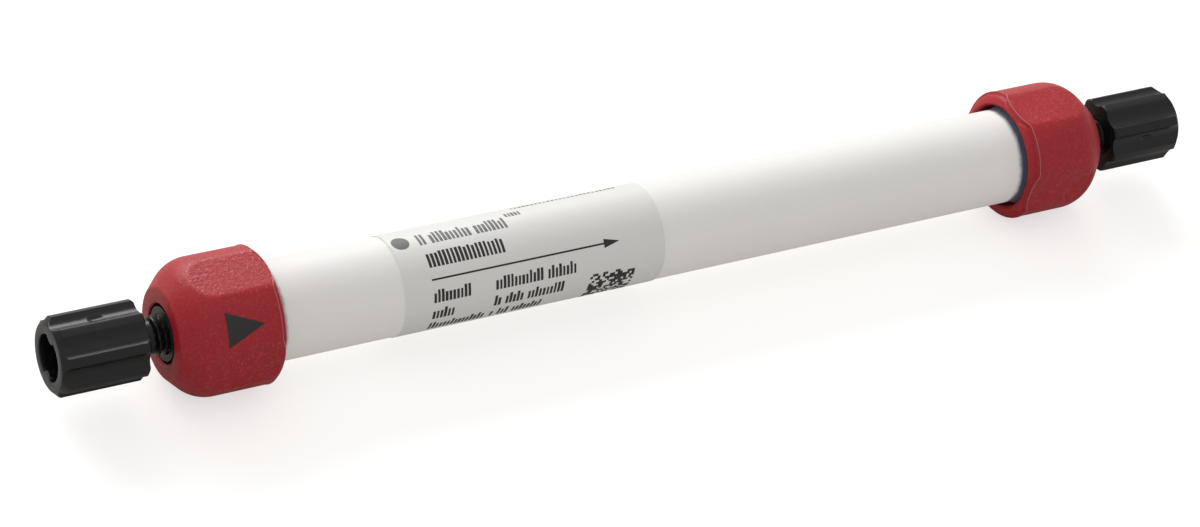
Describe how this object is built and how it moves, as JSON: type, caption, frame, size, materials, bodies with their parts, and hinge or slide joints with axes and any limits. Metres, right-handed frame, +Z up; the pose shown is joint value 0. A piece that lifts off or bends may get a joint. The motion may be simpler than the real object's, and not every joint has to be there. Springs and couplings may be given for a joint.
{
  "type": "chromatography column",
  "caption": "Straight plastic tube packed with media, with a screw cap clamping a ported end fitting at each end and a fluted stop plug in each port.",
  "frame": {"origin": "on the axis of the tube, at the middle of its length", "axes": "+X along the tube from the inlet to the outlet, +Z up with the column lying on a flat of each cap"},
  "size_m": [0.1562, 0.0154, 0.0154],
  "materials": {
    "natural_polypropylene": "satin, milky and slightly see-through",
    "red_polypropylene": "satin, fine moulded grain on the flats",
    "black_fitting": "satin",
    "black_plug": "glossy moulding",
    "seal_rubber": "matt",
    "porous_disc": "sintered",
    "packing": "fine moist granules",
    "label_film": "silver-grey film"
  },
  "bodies": {
    "column": {"column_tube": "natural_polypropylene", "packed_bed": "packing", "label": "label_film", "inlet_cap": "red_polypropylene", "inlet_end_fitting": "black_fitting", "inlet_seal_ring": "seal_rubber", "inlet_filter": "porous_disc", "outlet_cap": "red_polypropylene", "outlet_end_fitting": "black_fitting", "outlet_seal_ring": "seal_rubber", "outlet_filter": "porous_disc"},
    "inlet_plug": {"inlet_stop_plug": "black_plug"},
    "outlet_plug": {"outlet_stop_plug": "black_plug"}
  },
  "joints": [
    {"name": "inlet_plug_out", "type": "slide", "parent": "column", "child": "inlet_plug", "axis": [-1, 0, 0], "range_m": [0, 0.00997]},
    {"name": "outlet_plug_out", "type": "slide", "parent": "column", "child": "outlet_plug", "axis": [1, 0, 0], "range_m": [0, 0.00997]}
  ]
}
